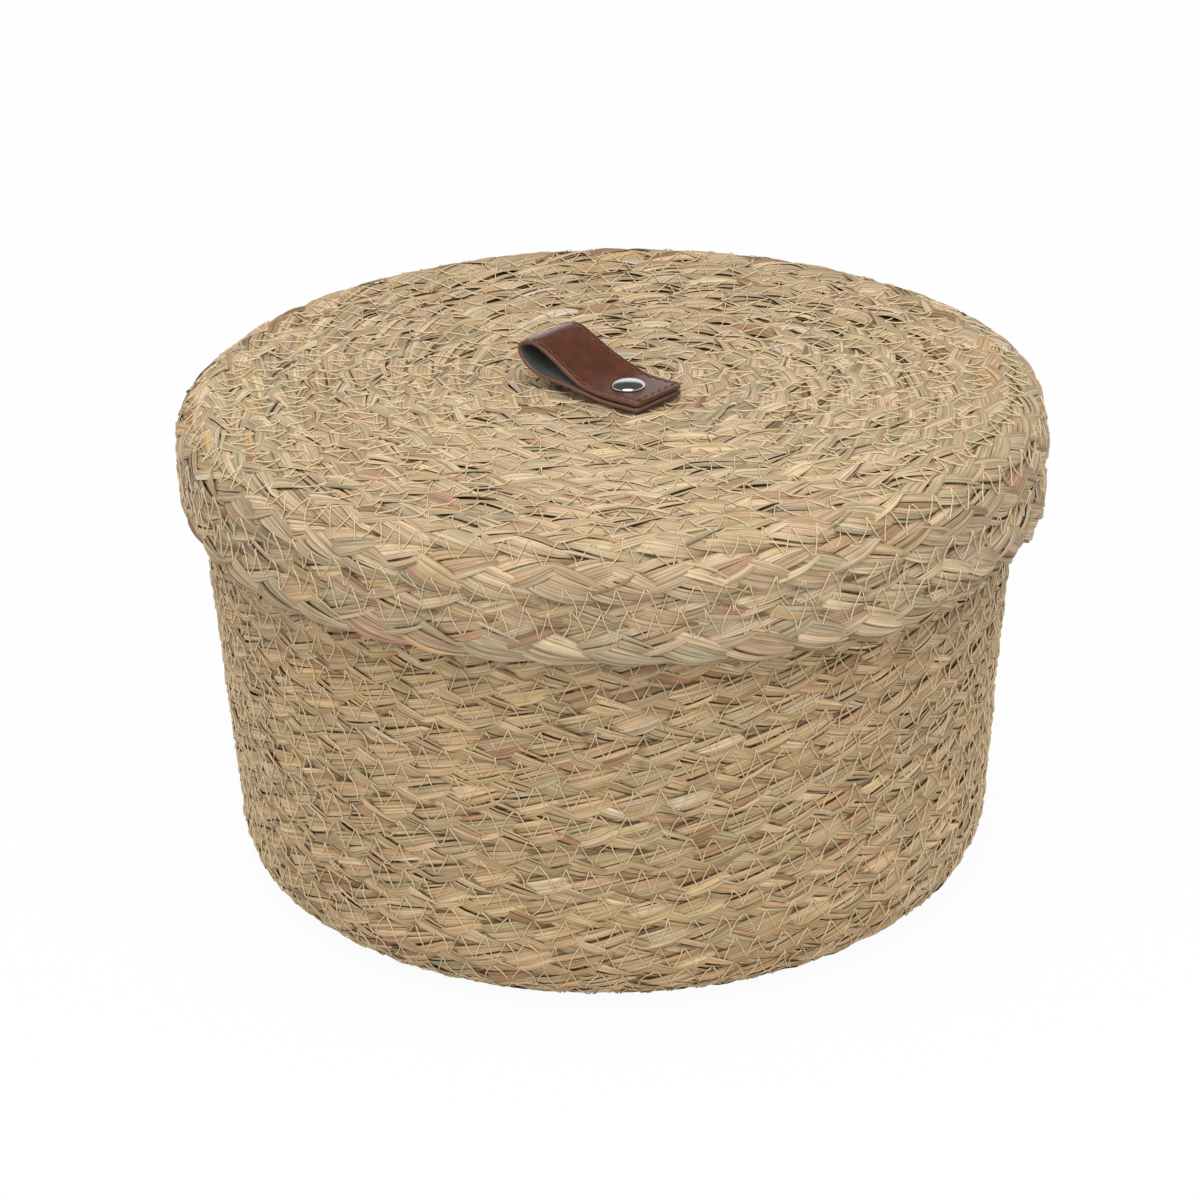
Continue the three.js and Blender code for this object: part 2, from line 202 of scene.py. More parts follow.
def lay_blades(face, course, rng):
    """Blades on the outer and the inner side of each strand, and three crushed ones in the plait's middle.
    Their widths wander and add up to the strand's, they lie on the strand's rounded back, and each is a
    closed lens of four sides: left edge, underside, right edge and back. A blade's colour changes only where
    the strand runs underneath. Gives the points, how each lies in its blade (across, along, the blade's
    number) and the colour."""
    x = course["x"]
    points, leaves, shades = [], [], []
    colours = np.array([colour for colour, chance in GRASS_COLOURS])
    chances = [chance for colour, chance in GRASS_COLOURS]
    sides = ((1, OUTER_BLADES, course["overlap"]), (-1, INNER_BLADES, INNER_OVERLAP))
    for strand in range(3):
        half, bank, slope = (course[key][strand] for key in ("half", "bank", "slope"))
        for side, count, overlap in sides:
            weight = np.exp(1.15 * drift(rng, count, x, 34))
            weight = weight / weight.sum(0)
            spread = 2 * np.cumsum(weight, 0) - weight - 1 + 0.17 * drift(rng, count, x, 26)
            across = spread * half
            height = side * STRAND_THICK / 2 * (1 - STRAND_CURVE * spread**2)
            height = height + 0.2 * drift(rng, count, x, 24)
            tilt = np.arctan(-side * STRAND_THICK * STRAND_CURVE * spread / half)
            tilt = tilt + 0.34 * drift(rng, count, x, 30)
            wide = np.minimum(weight * half * overlap, BLADE_MAX_HALF)
            back, belly = (BLADE_BACK, BLADE_BELLY) if side > 0 else (BLADE_BELLY, BLADE_BACK)
            level, steep = np.cos(tilt), np.sin(tilt)
            a = across + np.stack([-wide * level, belly * steep, wide * level, -back * steep])
            b = height + np.stack([-wide * steep, -belly * level, wide * steep, back * level])
            a, b = a * np.cos(bank) - b * np.sin(bank), a * np.sin(bank) + b * np.cos(bank)
            along = course["middle"] + course["lateral"][strand] + a * np.cos(slope)
            ahead = -a * np.sin(slope)
            angle = course["angle"] + course["sense"] * ahead / np.maximum(course["radius"], 4)
            out = course["lift"][strand] + b + course["tilt"] * (along - course["middle"])
            points.append(on_face(face, np.maximum(along, AXIS_GAP), out, angle))
            # Blades are renewed once in each half period, where this side of the strand is hidden.
            hidden = 0.75 if side * course["lay"] > 0 else 0.25
            cell = np.floor(course["phase"][strand] / np.pi - hidden).astype(int) + 1
            cells = (count, cell.max() + 1)
            fresh = np.where(rng.random(cells) < NEW_BLADE_CHANCE, np.arange(cells[1]), 0)
            latest = np.maximum.accumulate(fresh, 1)[:, cell]
            shared = rng.choice(len(GRASS_COLOURS), cells[1], p=chances)
            kinds = rng.choice(len(GRASS_COLOURS), cells, p=chances)
            kinds = np.where(rng.random(cells) < SHARED_TONE, shared, kinds)
            tint = rng.normal(1, 0.06, cells + (1,)) * rng.normal(1, 0.02, cells + (3,))
            tint = tint * rng.normal(1, 0.05, (cells[1], 1))
            hues = colours[kinds] * tint * course["hue"]
            rows = np.arange(count)[:, None]
            shades.append(np.broadcast_to(hues[rows, latest], (4, count, len(x), 3)))
            number = rng.random(cells)[rows, latest]
            place = np.array([-1.0, 0, 1, 0])[:, None, None] + 0 * wide
            leaves.append(np.stack([*np.broadcast_arrays(place, x, number)], -1))
    # The crushed blades lie side by side in the middle of the plait's thickness.
    across = np.array([-0.62, 0, 0.62])[:, None] + 0.1 * drift(rng, 3, x, 45)
    across = (across + np.array([-0.38, 0, 0.38, 0])[:, None, None]) * course["core"]
    out = np.array([0, -1.15, 0, 1.15])[:, None, None] + 0.2 * drift(rng, 3, x, 30)
    out = out - PLAIT_THICK / 2 - 0.35 + course["tilt"] * across
    points.append(on_face(face, np.maximum(course["middle"] + across, 0.2), out, course["angle"]))
    leaves.append(leaves[0][:, :3])
    # Painted shade: the middle blades take a darker colour than the grass, standing in for the shade in the
    # gaps they are seen through; their tone wanders along the plait.
    worn = (1 + 0.18 * drift(rng, 3, x, 50))[None, :, :, None]
    shades.append(SHADED_CORE_COLOUR * worn * np.ones((4, 1, 1, 1)))
    return [np.concatenate([np.moveaxis(part, 0, 2) for part in parts]) for parts in (points, leaves, shades)]


def strip_mesh(name, points, leaves, shades, sharp_corners, run=320):
    """Closed strips, such as blades: points[strip, ring, corner], joined ring to ring by quads and closed by
    a face at either end, with the corners taken in the order that turns the faces outwards. Edges along
    sharp_corners are sharp. The bake's UV map lays strips in rows of the texture, run rings to a row."""
    strips, rings, corners = points.shape[:3]
    ring = points[0, :-1]
    facing = np.cross(ring, np.roll(ring, -1, 1)).sum(1)
    if ((ring.mean(1) - points[0, 1:].mean(1)) * facing).sum() > 0:
        points, leaves, shades = (part[:, :, ::-1] for part in (points, leaves, shades))
        sharp_corners = [corners - 1 - corner for corner in sharp_corners]
    number = np.arange(strips * rings * corners).reshape(strips, rings, corners)
    ahead = np.roll(number, -1, 2)
    walls = np.stack([number[:, :-1], ahead[:, :-1], ahead[:, 1:], number[:, 1:]], -1).reshape(-1, 4)
    caps = np.concatenate([number[:, 0, ::-1], number[:, -1]])
    starts = np.concatenate([np.arange(len(walls)) * 4, walls.size + np.arange(len(caps)) * corners])
    mesh = bpy.data.meshes.new(name)
    mesh.vertices.add(number.size)
    mesh.vertices.foreach_set("co", (points * MM).astype(np.float32).ravel())
    mesh.loops.add(walls.size + caps.size)
    mesh.loops.foreach_set("vertex_index", np.concatenate([walls.ravel(), caps.ravel()]).astype(np.int32))
    mesh.polygons.add(len(starts))
    mesh.polygons.foreach_set("loop_start", starts.astype(np.int32))
    mesh.update(calc_edges=True)
    mesh.polygons.foreach_set("use_smooth", np.ones(len(starts), bool))
    edges = np.empty(len(mesh.edges) * 2, np.int32)
    mesh.edges.foreach_get("vertices", edges)
    first, second = edges.reshape(-1, 2).T % corners
    sharp = (first == second) & np.isin(first, sharp_corners)
    mesh.attributes.new("sharp_edge", "BOOLEAN", "EDGE").data.foreach_set("value", sharp)
    leaf = mesh.attributes.new("lie", "FLOAT_VECTOR", "POINT")
    leaf.data.foreach_set("vector", leaves.astype(np.float32).ravel())
    tone = mesh.attributes.new("tone", "FLOAT_COLOR", "POINT")
    solid = np.concatenate([shades, np.ones(shades.shape[:3] + (1,))], -1)
    tone.data.foreach_set("color", solid.astype(np.float32).ravel())
    per_strip = -(-(rings - 1) // run)
    ring = np.arange(rings - 1)
    left = (ring % run) / run
    u = np.stack([left, left, left + 1 / run, left + 1 / run], -1)[None, :, None, :]
    row = np.arange(strips)[:, None] * per_strip + ring // run
    margin, filled = 0.06, 0.88
    v = row[..., None] + margin + filled * np.arange(corners) / corners
    v = np.stack([v, v + filled / corners, v + filled / corners, v], -1) / (strips * per_strip)
    uv = np.stack([np.broadcast_to(u, v.shape), v], -1)
    ends = np.repeat(np.tile(uv[:, 0, 0, 0], (2, 1)), corners, 0)
    uv = np.concatenate([uv.reshape(-1, 2), ends])
    mesh.uv_layers.new(name="OFBake").data.foreach_set("uv", uv.astype(np.float32).ravel())
    mesh.validate()
    piece = bpy.data.objects.new(name, mesh)
    bpy.context.scene.collection.objects.link(piece)
    return piece


def new_material(name):
    """An empty node material, its node tree and its Principled shader."""
    material = bpy.data.materials.new(name)
    material.use_nodes = True
    return material, material.node_tree, material.node_tree.nodes["Principled BSDF"]


def feed(tree, socket, value):
    """Gives a socket either another node's output or a constant."""
    if isinstance(value, bpy.types.NodeSocket):
        tree.links.new(value, socket)
    else:
        socket.default_value = value


def read_attribute(tree, name, output):
    """A value that the mesh carries at each of its points."""
    node = tree.nodes.new("ShaderNodeAttribute")
    node.attribute_name = name
    return node.outputs[output]


def split(tree, vector):
    """The three parts of a vector."""
    node = tree.nodes.new("ShaderNodeSeparateXYZ")
    feed(tree, node.inputs["Vector"], vector)
    return node.outputs


def calculate(tree, operation, *values):
    """One step of arithmetic."""
    node = tree.nodes.new("ShaderNodeMath")
    node.operation = operation
    for socket, value in zip(node.inputs, values):
        feed(tree, socket, value)
    return node.outputs[0]


def map_range(tree, value, start=0.0, end=1.0, low=0.0, high=1.0):
    """Low where the value is start or less, high where it is end or more, and even steps between."""
    node = tree.nodes.new("ShaderNodeMapRange")
    sockets = ("Value", "From Min", "From Max", "To Min", "To Max")
    for socket, given in zip(sockets, (value, start, end, low, high)):
        feed(tree, node.inputs[socket], given)
    return node.outputs["Result"]


def mix_colours(tree, blend, first, second, factor=1.0):
    """The second colour laid over the first, as strongly as factor says."""
    node = tree.nodes.new("ShaderNodeMix")
    node.data_type, node.blend_type = "RGBA", blend
    for socket, given in (("Factor", factor), ("A", first), ("B", second)):
        feed(tree, node.inputs[socket], given)
    return node.outputs["Result"]


def colour_ramp(tree, value, *stops):
    """A colour between two stops, each of them a place along the value and a colour."""
    node = tree.nodes.new("ShaderNodeValToRGB")
    for element, (place, colour) in zip(node.color_ramp.elements, stops):
        element.position, element.color = place, (*colour, 1)
    feed(tree, node.inputs["Fac"], value)
    return node.outputs["Color"]


def emboss(tree, shader, height, strength, depth):
    """Fine relief on a surface, too small for its mesh."""
    node = tree.nodes.new("ShaderNodeBump")
    for socket, given in (("Strength", strength), ("Distance", depth), ("Height", height)):
        feed(tree, node.inputs[socket], given)
    tree.links.new(node.outputs["Normal"], shader.inputs["Normal"])


def stretched_noise(tree, vector, stretch, detail):
    """Cloudy noise, as many times finer along each axis as stretch says."""
    scale = tree.nodes.new("ShaderNodeVectorMath")
    scale.operation = "MULTIPLY"
    feed(tree, scale.inputs[0], vector)
    feed(tree, scale.inputs[1], stretch)
    noise = tree.nodes.new("ShaderNodeTexNoise")
    for socket, given in (("Vector", scale.outputs[0]), ("Scale", 1), ("Detail", detail)):
        feed(tree, noise.inputs[socket], given)
    return noise


def new_group(name, *outputs):
    """An empty node group that takes how a point lies in its piece, with its first and last nodes."""
    group = bpy.data.node_groups.new(name, "ShaderNodeTree")
    group.interface.new_socket("Lie", in_out="INPUT", socket_type="NodeSocketVector")
    for output in outputs:
        group.interface.new_socket(output, in_out="OUTPUT", socket_type="NodeSocketFloat")
    return group, group.nodes.new("NodeGroupInput"), group.nodes.new("NodeGroupOutput")


def noise_group(name, noises):
    """A node group of noises that follow the piece; each has an output's name, a stretch and a detail."""
    group, came, went = new_group(name, *[noise[0] for noise in noises])
    for output, stretch, detail in noises:
        noise = stretched_noise(group, came.outputs["Lie"], stretch, detail)
        group.links.new(noise.outputs["Fac"], went.inputs[output])
    return group


def use_group(tree, group, lie):
    """The outputs of a node group at work in a material."""
    node = tree.nodes.new("ShaderNodeGroup")
    node.node_tree = group
    tree.links.new(lie, node.inputs["Lie"])
    return node.outputs


# Fibres of a dry blade: long thin streaks that run with the blade, and blotches a few millimetres long. A
# blade is darker at its edges and along a line beside its middle: this is painted shade, standing in for the
# shade in the gaps between blades.
leaf_grain = noise_group("leaf_grain", (("Streak", (5.5, 0.05, 61.0), 4), ("Blotch", (0.4, 0.11, 61.0), 2)))

grass, tree, shader = new_material("dry_grass")
lie = read_attribute(tree, "lie", "Vector")
tone = read_attribute(tree, "tone", "Color")
grain = use_group(tree, leaf_grain, lie)
fibre = mix_colours(tree, "MULTIPLY", tone, map_range(tree, grain["Streak"], 0.34, 0.62, 0.55, 1.12))
parts = split(tree, lie)
# Painted shade: a blade's colour darkens towards its edges and along a line beside its middle, as if shaded
# in the gaps between blades.
rim = map_range(tree, calculate(tree, "ABSOLUTE", parts["X"]), 0.78, 1.0, 0, 0.78)
split_line_place = map_range(tree, parts["Z"], 0, 1, -0.55, 0.55)
beside = calculate(tree, "ABSOLUTE", calculate(tree, "SUBTRACT", parts["X"], split_line_place))
painted_gap_shade = calculate(tree, "MAXIMUM", rim, map_range(tree, beside, 0.04, 0.14, 0.6, 0))
edged = mix_colours(tree, "MULTIPLY", fibre, (0.47, 0.38, 0.28, 1), painted_gap_shade)
dull = map_range(tree, grain["Blotch"], 0.35, 0.7)
aged = mix_colours(tree, "MULTIPLY", edged, (0.82, 0.76, 0.68, 1), dull)
feed(tree, shader.inputs["Base Color"], aged)
feed(tree, shader.inputs["Roughness"], map_range(tree, grain["Streak"], 0, 1, 0.5, 0.78))
feed(tree, shader.inputs["Specular IOR Level"], 0.3)
emboss(tree, shader, grain["Streak"], 0.35, 0.15 * MM)


def make_plait(face, course, rng, names, body, node):
    """Cuts the finished plait into lengths of equal size, each a piece of its own."""
    points, leaves, shades = lay_blades(face, course, rng)
    points[..., 2] = np.maximum(points[..., 2], GROUND_GAP)
    cuts = np.linspace(0, points.shape[1] - 1, len(names) + 1).astype(int)
    for name, first, last in zip(names, cuts, cuts[1:]):
        part = slice(first, last + 1)
        piece = strip_mesh(name, points[:, part], leaves[:, part], shades[:, part], (0, 2))
        piece.data.materials.append(grass)
        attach(piece, body)
        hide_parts(node)


lean = math.atan2(BOX_KNEE[0] - BOX_BASE_R - BOX_FOOT_R, BOX_KNEE[1] - BOX_FOOT_R)
bend = np.linspace(-np.pi / 2, -lean, 40)
box_face = section_line(
    [(r, 0.0) for r in np.linspace(0, BOX_BASE_R, 60)[:-1]]
    + [(BOX_BASE_R + BOX_FOOT_R * math.cos(a), BOX_FOOT_R + BOX_FOOT_R * math.sin(a)) for a in bend]
    + [BOX_KNEE, (BOX_KNEE[0], BOX_RIM_Z), (BOX_KNEE[0], BOX_RIM_Z + BOX_PITCH)],
    1,
)
box_rim = box_face[0][-2]
box_turns = box_rim / BOX_PITCH
box_course = coil_course(
    box_face,
    [-1 - box_turns, -1, 0],
    [0, box_rim, box_rim + BOX_RIM_RISE],
    BOX_END_ANGLE,
    -1,
    -box_turns,
)
rng = np.random.default_rng(11)
box_course["hue"] = BOX_HUE
box_course["tilt"] = np.full(len(box_course["x"]), BOX_TILT)
box_course["overlap"] = BOX_OVERLAP
lay_strands(box_course, BOX_PERIOD, 1, rng)
make_plait(box_face, box_course, rng, BOX_LENGTHS, "box", "box_coil")

# Box thread: pale cotton in a machine zigzag over every seam, on the outside and on the inside. It crosses
# from one row to the next and goes down through a needle hole near the middle of each row.
THREAD_R = 0.215
ZIGZAG_STEP = 3.7  # along the seam, from a hole in one row to the next hole in the other
STEP_STRAY = 0.15  # how unevenly the holes follow each other, in steps
BOX_REACH = 3.8  # from the seam to a hole
REACH_STRAY = 0.55
THREAD_BOW = 0.65  # how far the thread bends aside between two holes
HOLE_DEPTH = 1.1
LEG_SHARES = np.array([0, 0.09, 0.36, 0.64, 0.91])  # where the thread is worked out between two holes
COTTON_COLOUR = srgb(231, 209, 169)


def plait_surface(course, turn, along, side):
    """The plait's outermost (side +1) or innermost (side -1) height at a turn and a length along the
    section: the highest of the three strands' rounded backs."""
    x = np.interp(turn, course["turn"], course["x"])
    middle, row_tilt = (np.interp(x, course["x"], course[key]) for key in ("middle", "tilt"))
    tilt = row_tilt * (along - middle)
    top = np.full(x.shape, -9.0)
    keys = ("lateral", "slope", "half", "lift", "bank")
    for strand in range(3):
        lateral, slope, half, lift, bank = (np.interp(x, course["x"], course[key][strand]) for key in keys)
        off = along - middle - lateral
        share = off / np.cos(slope) / half
        back = STRAND_THICK / 2 * (1 - STRAND_CURVE * share**2) + BLADE_BACK
        height = side * (lift + off * np.sin(bank) + tilt) + back
        top = np.where(np.abs(share) < 1.1, np.maximum(top, height), top)
    return top


def sew_zigzag(name, face, course, rng, side, reach, body, node):
    """One thread along the whole spiral seam, up to the last turn, which has no row after it. Holes lie by
    turns in the row before and the row after the seam, and between two holes the thread runs in a slight bow
    over the plait's surface. It is a tube of three sides."""
    length = course["x"][course["turn"] < -1.02].max()
    steps = 1 + STEP_STRAY * rng.standard_normal(int(length / ZIGZAG_STEP) + 1)
    holes = np.cumsum(ZIGZAG_STEP * steps)
    holes = holes[holes < length]
    count = np.arange(len(holes))
    reach = (reach + REACH_STRAY * rng.standard_normal(len(holes))) * np.where(count % 2, 1, -1)
    spot = (count[:-1, None] + LEG_SHARES).ravel()
    bow = THREAD_BOW * rng.standard_normal(len(holes) - 1)[:, None] * 4 * LEG_SHARES * (1 - LEG_SHARES)
    x = np.interp(spot, count, holes) + bow.ravel()
    turn = np.interp(x, course["x"], course["turn"])
    edge = np.interp(x, course["x"], course["middle"] + course["width"] / 2)
    along = edge + np.interp(spot, count, reach)
    top = np.maximum(plait_surface(course, turn, along, side), plait_surface(course, turn + 1, along, side))
    top = np.where(top < -5, np.median(top), top)
    hole = np.abs(spot - np.round(spot)) < 0.01
    calm = np.convolve(top, [0.25, 0.5, 0.25], "same")
    out = side * (np.maximum(top, calm) + THREAD_R - np.where(hole, HOLE_DEPTH, 0))
    angle = np.interp(x, course["x"], course["angle"])
    along = np.maximum(along, AXIS_GAP)
    line = on_face(face, along, out, angle)
    line[:, 2] = np.maximum(line[:, 2], THREAD_R)
    up = on_face(face, along, out + 1, angle) - line
    run = np.gradient(line, axis=0)
    run = run / np.linalg.norm(run, axis=1, keepdims=True)
    beside = np.cross(run, up)
    beside = beside / np.linalg.norm(beside, axis=1, keepdims=True)
    up = np.cross(beside, run)
    around = np.pi / 2 + 2 * np.pi * np.arange(3)[:, None, None] / 3
    ring = line + THREAD_R * (np.sin(around) * up + np.cos(around) * beside)
    points = np.moveaxis(ring, 0, 1)[None]
    leaves = np.stack([*np.broadcast_arrays(np.arange(3) / 3, x[:, None], rng.random())], -1)[None]
    shades = np.broadcast_to(COTTON_COLOUR, points.shape)
    piece = strip_mesh(name, points, leaves, shades, ())
    piece.data.materials.append(cotton)
    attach(piece, body)
    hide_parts(node)


# Twist of a sewing thread: stripes that run round it on a slant, two to a millimetre, and uneven wear.
thread_twist, came, went = new_group("thread_twist", "Ply", "Wear")
slant = thread_twist.nodes.new("ShaderNodeVectorMath")
slant.operation = "DOT_PRODUCT"
slant.inputs[1].default_value = (2 * math.pi, 4 * math.pi, 0)
feed(thread_twist, slant.inputs[0], came.outputs["Lie"])
wave = calculate(thread_twist, "SINE", slant.outputs["Value"])
feed(thread_twist, went.inputs["Ply"], map_range(thread_twist, wave, -1))
wear = thread_twist.nodes.new("ShaderNodeTexNoise")
wear.inputs["Scale"].default_value = 0.35
feed(thread_twist, wear.inputs["Vector"], came.outputs["Lie"])
feed(thread_twist, went.inputs["Wear"], wear.outputs["Fac"])

cotton, tree, shader = new_material("sewing_thread")
twist = use_group(tree, thread_twist, read_attribute(tree, "lie", "Vector"))
strands = map_range(tree, twist["Ply"], 0, 1, 0.88, 1.06)
grime = map_range(tree, twist["Wear"], 0.3, 0.7, 0.86, 1.05)
level = calculate(tree, "MULTIPLY", strands, grime)
spun = mix_colours(tree, "MULTIPLY", read_attribute(tree, "tone", "Color"), level)
feed(tree, shader.inputs["Base Color"], spun)
feed(tree, shader.inputs["Roughness"], map_range(tree, twist["Wear"], 0, 1, 0.62, 0.85))
emboss(tree, shader, twist["Ply"], 0.5, 0.08 * MM)

rng = np.random.default_rng(12)
sew_zigzag("box_outside_thread", box_face, box_course, rng, 1, BOX_REACH, "box", "box_coil")
sew_zigzag("box_inside_thread", box_face, box_course, rng, -1, BOX_REACH, "box", "box_coil")

# Lid: a second plait, wound from the middle of the lid's top out over its rounded edge and down the skirt.
# It is sewn with less overlap than the box. The row on the rounded edge and the last row are bared to their
# full width, the row between them is half covered, and the end tapers off on the right of the skirt.
LID_PITCH = 9.5
LID_PERIOD = 53.0
LID_TOP_Z = 147.0
LID_R = 125.3
LID_EDGE_R = 13.0
LID_HEM_Z = 102.0
LID_LIFTED = (2.2, math.radians(102))  # the lid is not quite true: its back has risen by this much
LID_SWOLLEN = (1.2, math.radians(40))  # and it is wider by this much on one side, narrower on the other
LID_TILTS = ((100, -0.1), (124, 0.1))  # outer rows lie over inner ones on the top, under them on the skirt
LID_HUE = np.array([0.953, 0.93, 0.945])
LID_OVERLAP = 1.26
LID_BARE_TURNS = 4.3  # the last turns, whose rows lie bare
LID_LENGTHS = ("lid_top_plait", "lid_edge_plait", "lid_skirt_plait")
# The row's edge on the way to the coil's end: turns before the end, and length along the face from the axis.
LID_ROW_EDGES = (
    (-4.333, 110.5), (-4.167, 112.2), (-4.056, 113.6), (-4.0, 115.2), (-3.78, 117.5), (-3.53, 119.5),
    (-3.333, 121.1), (-3.167, 121.8), (-3.111, 122.6), (-3.056, 126.1), (-3.0, 128.0), (-2.78, 130.0),
    (-2.53, 132.0), (-2.333, 133.6), (-2.25, 134.3), (-2.167, 135.5), (-2.111, 136.8), (-2.056, 139.2),
    (-2.0, 141.2), (-1.9, 141.6), (-1.53, 140.8), (-1.333, 141.1), (-1.25, 141.8), (-1.167, 142.4),
    (-1.111, 143.6), (-1.056, 147.0), (-1.0, 154.2), (-0.975, 156.4), (-0.94, 157.2), (-0.9, 156.8),
    (-0.84, 154.8), (-0.7, 151.4), (-0.53, 149.2), (-0.417, 148.3), (-0.36, 149.2), (-0.302, 150.6),
    (-0.25, 151.6), (-0.167, 152.6), (-0.111, 154.4), (-0.056, 156.6), (0.0, 156.2),
)
LID_END_ANGLE = math.radians(10)

bend = np.linspace(np.pi / 2, 0, 40)
edge_r, edge_z = LID_R - LID_EDGE_R, LID_TOP_Z - LID_EDGE_R
lid_face = section_line(
    [(r, LID_TOP_Z) for r in np.linspace(0, edge_r, 60)[:-1]]
    + [(edge_r + LID_EDGE_R * math.cos(a), edge_z + LID_EDGE_R * math.sin(a)) for a in bend]
    + [(LID_R, LID_HEM_Z)],
    -1,
    LID_LIFTED,
    LID_SWOLLEN,
)
edge_turns, edge_along = np.array(LID_ROW_EDGES).T
first_turn = edge_turns[0] - edge_along[0] / LID_PITCH
lid_course = coil_course(
    lid_face,
    np.concatenate([[first_turn], edge_turns]),
    np.concatenate([[0], edge_along]),
    LID_END_ANGLE,
    1,
    first_turn + 1,
    LID_BARE_TURNS,
)
rng = np.random.default_rng(23)
lid_course["hue"] = LID_HUE
lid_course["tilt"] = np.interp(lid_course["middle"], *np.array(LID_TILTS).T)
lid_course["overlap"] = LID_OVERLAP
lay_strands(lid_course, LID_PERIOD, -1, rng)
make_plait(lid_face, lid_course, rng, LID_LENGTHS, "lid", "lid_coil")

# Lid thread: the same pale cotton as on the box, over every seam of the lid's coil, outside and inside. Its
# zigzag reaches further from the seam, as the lid's rows are wider.
LID_REACH = 4.3
rng = np.random.default_rng(24)
sew_zigzag("lid_outside_thread", lid_face, lid_course, rng, 1, LID_REACH, "lid", "lid_coil")
sew_zigzag("lid_inside_thread", lid_face, lid_course, rng, -1, LID_REACH, "lid", "lid_coil")

# Strap: a length of smooth brown cowhide, folded into a loop with its two ends laid one on the other and
# riveted to the lid. Its cut edges are bare.
STRAP_PLACE = np.array([15.3, -8.8, 147.3])  # on the rivet's axis, at the height of the strap's underside
STRAP_HALF = 10.25
STRAP_CORNER = 1.2
SKIN_THICK = 1.25
STRAP_CLOSED = 19.0  # length of the riveted ends that lie one on the other
STITCH_INSET = 1.5
STRAP_ASIDE = 1.3  # the rivet sits this far off the strap's middle line
STRAP_TWIST = 0.13  # rise of one half of the strap at the bend, for each millimetre from the middle line
TWIST_PLACE = 10.0  # from the rivet to the highest of that rise
TWIST_SPAN = 6.0
# The strap's outer face seen from its side: distance from the rivet towards the fold, and height.
STRAP_LINE = (
    (-10.5, 0.45), (-6, 0.45), (-1, 0.47), (3, 0.6), (6.4, 1.05), (10.2, 1.65), (13.9, 2.2), (17.6, 2.75),
    (21.3, 3.05), (25, 3.5), (28.7, 4.8), (31.5, 6.9), (33.2, 9.6), (32.8, 11.9), (30.9, 13.3), (27.3, 13.8),
    (22.9, 12.1), (17.4, 8.95), (13.7, 6.65), (10.1, 4.85), (8.2, 4.4), (6.4, 4.1), (4.6, 3.8), (2.8, 3.62),
    (-1, 3.5), (-6, 3.5), (-10.5, 3.5),
)
STRAP_TOP = 3.5  # height of the upper of the riveted ends


def smooth_line(corners):
    """A Catmull-Rom curve through the corners: the length along it, both coordinates and its left normal."""
    p = np.array(corners, float)
    p = np.concatenate([[2 * p[0] - p[1]], p, [2 * p[-1] - p[-2]]])
    a, b, c, d = (part[:, None] for part in (p[:-3], p[1:-2], p[2:-1], p[3:]))
    t = np.linspace(0, 1, 24, endpoint=False)[:, None]
    curve = (2 * b + (c - a) * t + (2 * a - 5 * b + 4 * c - d) * t**2 + (3 * b - a - 3 * c + d) * t**3) / 2
    x, z = np.concatenate([curve.reshape(-1, 2), p[-2:-1]]).T
    length = np.concatenate([[0], np.cumsum(np.hypot(np.diff(x), np.diff(z)))])
    dx, dz = np.gradient(x, length), np.gradient(z, length)
    size = np.hypot(dx, dz)
    return length, x, z, -dz / size, dx / size


def on_strap(along, depth, across):
    """Points of the strap: length along its outer face, depth below that face and distance from the middle
    line. One half of the bend rises in proportion to that distance, as a bell-shaped hump."""
    x, z, in_x, in_z = (np.interp(along, strap_line[0], row) for row in strap_line[1:])
    hump = np.exp(-(((x - TWIST_PLACE) / TWIST_SPAN) ** 2))
    rise = STRAP_TWIST * np.maximum(-across, 0) * hump * np.clip(z / STRAP_TOP, 0, 1)
    aside = STRAP_ASIDE - across + 0 * x
    return STRAP_PLACE + np.stack([-x - depth * in_x, aside, z + rise + depth * in_z], -1)


def strap_rings(trim):
    """Lengths along the strap at which its section is worked out, close together at both cut ends, and the
    half width there, rounded off at the corners. trim is how far the piece stays back from the loop's edges;
    between the riveted ends it stays back three times as far."""
    end = strap_line[0][-1]
    close = np.array([0, 0.04, 0.12, 0.25, 0.45, 0.8])
    rings = np.concatenate([close, np.linspace(STRAP_CORNER, end - STRAP_CORNER, 130), end - close[::-1]])
    gap = np.clip(STRAP_CORNER - np.minimum(rings, end - rings), 0, STRAP_CORNER)
    half = STRAP_HALF - STRAP_CORNER + np.sqrt(STRAP_CORNER**2 - gap**2)
    flat = np.clip((STRAP_CLOSED - np.minimum(rings, end - rings)) / 4, 0, 1)
    return np.clip(rings, 2 * trim, end - 2 * trim), half - trim * (1 + 2 * flat)


strap_line = smooth_line(STRAP_LINE)
rings, half = strap_rings(0)
# The section of the leather, from the cut edge to the middle line: distance in from the edge, and depth
# below the outer face, with the crease of the stitches. It is mirrored to the other edge and closed by a
# flat back.
inset = np.array([0, 0, 0.06, 0.25, 0.7, 1.2, STITCH_INSET, 1.8, 2.3, 4.5, 7.4, STRAP_HALF])
dent = np.array([SKIN_THICK - 0.15, 0.3, 0.08, 0, 0, 0.07, 0.16, 0.07, 0, -0.03, -0.05, -0.06])
side = np.concatenate([-np.ones(len(inset)), np.ones(len(inset)), [-1]])
inset = np.concatenate([inset, inset[-2::-1], [0.25, 0.25]])
dent = np.concatenate([dent, dent[-2::-1], [SKIN_THICK, SKIN_THICK]])
across = side * np.maximum(half[:, None] - inset * np.minimum(1, half[:, None] / STRAP_HALF), 0)
points = on_strap(rings[:, None], dent, across)[None]
lies = np.stack([*np.broadcast_arrays(side * (1 - inset / STRAP_HALF), rings[:, None], dent)], -1)[None]
strap = strip_mesh("strap_leather", points, lies, np.ones(points.shape), (), len(rings) - 1)
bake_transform(strap)
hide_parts("tab_bottom_skin", "tab_top_skin", "tab_loop_skin")

